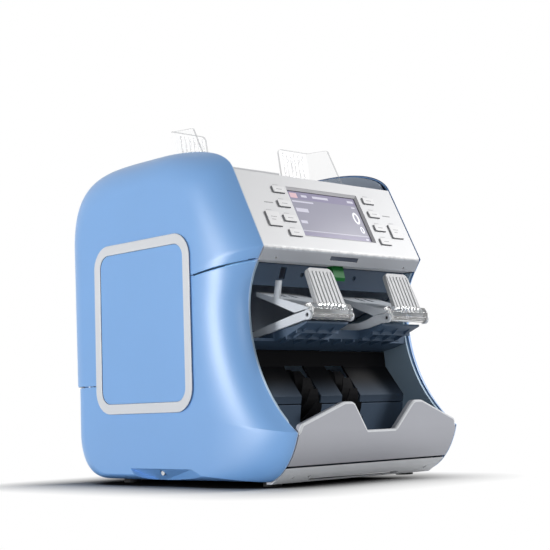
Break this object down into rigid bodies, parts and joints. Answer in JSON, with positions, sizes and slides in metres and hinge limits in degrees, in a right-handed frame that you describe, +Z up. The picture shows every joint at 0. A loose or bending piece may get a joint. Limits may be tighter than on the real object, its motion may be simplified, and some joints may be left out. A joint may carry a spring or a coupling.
{
  "type": "banknote counter",
  "caption": "Desk-top banknote counter with rounded blue side covers, a feed hopper with clear guides, a sloped control panel, a reject pocket and a finned-wheel stacker.",
  "frame": {"origin": "centre of the footprint, on the table under the feet", "axes": "+X to the viewer's right when facing the control panel, +Y to the back, +Z up"},
  "size_m": [0.2844, 0.336, 0.365],
  "materials": {
    "cover_blue": "satin metallic blue",
    "trim_white": "satin",
    "panel_silver": "satin silver-grey",
    "key_grey": "matte",
    "clear_plastic": "clear moulded",
    "arm_grey": "matte",
    "dark_plastic": "matte",
    "black_plastic": "matte",
    "switch_red": "gloss",
    "black_rubber": "matte",
    "steel": "brushed",
    "frame_metal": "painted dark grey-green",
    "pulley_white": "matte",
    "motor_case": "plain",
    "board_green": "satin",
    "screen": "gloss",
    "lever_green": "gloss"
  },
  "bodies": {
    "base": {"base_pan": "frame_metal", "feet": "black_rubber", "lower_cover_left": "cover_blue", "lower_cover_right": "cover_blue", "cover_screws": "steel", "apron": "panel_silver", "base_strip": "panel_silver", "rear_lower_panel": "dark_plastic", "power_inlet": "black_plastic", "chassis_left": "frame_metal", "chassis_right": "frame_metal", "stacker_floor": "dark_plastic", "stacker_back": "dark_plastic", "reject_tray": "dark_plastic", "reject_arm_left": "arm_grey", "reject_arm_right": "arm_grey", "pivot_pins": "steel", "stacker_motor": "motor_case", "stacker_belt": "black_rubber", "image_sensor": "dark_plastic", "main_board": "board_green", "power_supply": "motor_case"},
    "upper_unit": {"upper_cover_left": "cover_blue", "upper_cover_right": "cover_blue", "side_panel_left": "cover_blue", "side_panel_right": "cover_blue", "side_trim_left": "trim_white", "side_trim_right": "trim_white", "upper_frame_left": "frame_metal", "upper_frame_right": "frame_metal", "control_panel": "panel_silver", "display_module": "screen", "keypad_board": "board_green", "reject_back_wall": "dark_plastic", "hopper_tray": "dark_plastic", "feed_motor": "motor_case", "rear_cover": "panel_silver"},
    "key_left_1": {"key_left_1": "key_grey"},
    "key_left_2": {"key_left_2": "key_grey"},
    "key_left_3": {"key_left_3": "key_grey"},
    "key_left_4": {"key_left_4": "key_grey"},
    "key_left_big": {"key_left_big": "key_grey"},
    "key_right_1": {"key_right_1": "key_grey"},
    "key_right_2": {"key_right_2": "key_grey"},
    "key_right_3": {"key_right_3": "key_grey"},
    "key_right_4": {"key_right_4": "key_grey"},
    "key_right_big": {"key_right_big": "key_grey"},
    "reject_stopper_left": {"reject_stopper_left": "clear_plastic"},
    "reject_stopper_right": {"reject_stopper_right": "clear_plastic"},
    "release_lever": {"release_lever": "lever_green"},
    "hopper_guide_left": {"hopper_guide_left": "clear_plastic"},
    "hopper_guide_right": {"hopper_guide_right": "clear_plastic"},
    "stacker_rotor": {"stacker_shaft": "steel", "stacker_wheel_left": "black_plastic", "stacker_wheel_right": "black_plastic", "stacker_pulley": "pulley_white"},
    "motor_rotor": {"motor_pulley": "pulley_white"},
    "feed_rotor": {"feed_shaft": "steel", "feed_rollers": "black_rubber"},
    "power_switch": {"power_switch": "switch_red"}
  },
  "joints": [
    {"name": "upper_hinge", "type": "hinge", "parent": "base", "child": "upper_unit", "pos_m": [0, 0.152, 0.102], "axis": [-1, 0, 0], "range_deg": [0, 32]},
    {"name": "key_left_1_press", "type": "slide", "parent": "upper_unit", "child": "key_left_1", "axis": [0, 0.8957, -0.4446], "range_m": [0, 0.001], "stiffness_N_per_m": 300, "springref_m": -0.002},
    {"name": "key_left_2_press", "type": "slide", "parent": "upper_unit", "child": "key_left_2", "axis": [0, 0.8957, -0.4446], "range_m": [0, 0.001], "stiffness_N_per_m": 300, "springref_m": -0.002},
    {"name": "key_left_3_press", "type": "slide", "parent": "upper_unit", "child": "key_left_3", "axis": [0, 0.8957, -0.4446], "range_m": [0, 0.001], "stiffness_N_per_m": 300, "springref_m": -0.002},
    {"name": "key_left_4_press", "type": "slide", "parent": "upper_unit", "child": "key_left_4", "axis": [0, 0.8957, -0.4446], "range_m": [0, 0.001], "stiffness_N_per_m": 300, "springref_m": -0.002},
    {"name": "key_left_big_press", "type": "slide", "parent": "upper_unit", "child": "key_left_big", "axis": [0, 0.8957, -0.4446], "range_m": [0, 0.001], "stiffness_N_per_m": 300, "springref_m": -0.002},
    {"name": "key_right_1_press", "type": "slide", "parent": "upper_unit", "child": "key_right_1", "axis": [0, 0.8957, -0.4446], "range_m": [0, 0.001], "stiffness_N_per_m": 300, "springref_m": -0.002},
    {"name": "key_right_2_press", "type": "slide", "parent": "upper_unit", "child": "key_right_2", "axis": [0, 0.8957, -0.4446], "range_m": [0, 0.001], "stiffness_N_per_m": 300, "springref_m": -0.002},
    {"name": "key_right_3_press", "type": "slide", "parent": "upper_unit", "child": "key_right_3", "axis": [0, 0.8957, -0.4446], "range_m": [0, 0.001], "stiffness_N_per_m": 300, "springref_m": -0.002},
    {"name": "key_right_4_press", "type": "slide", "parent": "upper_unit", "child": "key_right_4", "axis": [0, 0.8957, -0.4446], "range_m": [0, 0.001], "stiffness_N_per_m": 300, "springref_m": -0.002},
    {"name": "key_right_big_press", "type": "slide", "parent": "upper_unit", "child": "key_right_big", "axis": [0, 0.8957, -0.4446], "range_m": [0, 0.001], "stiffness_N_per_m": 300, "springref_m": -0.002},
    {"name": "stopper_left_tip", "type": "hinge", "parent": "base", "child": "reject_stopper_left", "pos_m": [-0.056, -0.1508, 0.1593], "axis": [1, 0, 0], "range_deg": [0, 60]},
    {"name": "stopper_right_tip", "type": "hinge", "parent": "base", "child": "reject_stopper_right", "pos_m": [0.056, -0.1508, 0.1593], "axis": [1, 0, 0], "range_deg": [0, 60]},
    {"name": "lever_swing", "type": "hinge", "parent": "upper_unit", "child": "release_lever", "pos_m": [0, -0.10703, 0.22204], "axis": [-1, 0, 0], "range_deg": [0, 12], "stiffness_Nm_per_rad": 0.3, "springref_deg": -5.73},
    {"name": "guide_left_slide", "type": "slide", "parent": "upper_unit", "child": "hopper_guide_left", "axis": [1, 0, 0], "range_m": [0, 0.035]},
    {"name": "guide_right_slide", "type": "slide", "parent": "upper_unit", "child": "hopper_guide_right", "axis": [-1, 0, 0], "range_m": [0, 0.035]},
    {"name": "stacker_spin", "type": "hinge", "parent": "base", "child": "stacker_rotor", "pos_m": [0, -0.063, 0.068], "axis": [1, 0, 0], "continuous": true},
    {"name": "motor_spin", "type": "hinge", "parent": "base", "child": "motor_rotor", "pos_m": [0, 0.009, 0.056], "axis": [1, 0, 0], "continuous": true},
    {"name": "feed_spin", "type": "hinge", "parent": "upper_unit", "child": "feed_rotor", "pos_m": [0, -0.051, 0.26265], "axis": [1, 0, 0], "continuous": true},
    {"name": "switch_rock", "type": "hinge", "parent": "base", "child": "power_switch", "pos_m": [-0.026, 0.1545, 0.068], "axis": [1, 0, 0], "range_deg": [0, 14]}
  ],
  "couplings": [
    {"joint": "motor_spin", "follows": "stacker_spin", "ratio": 1.5556}
  ]
}
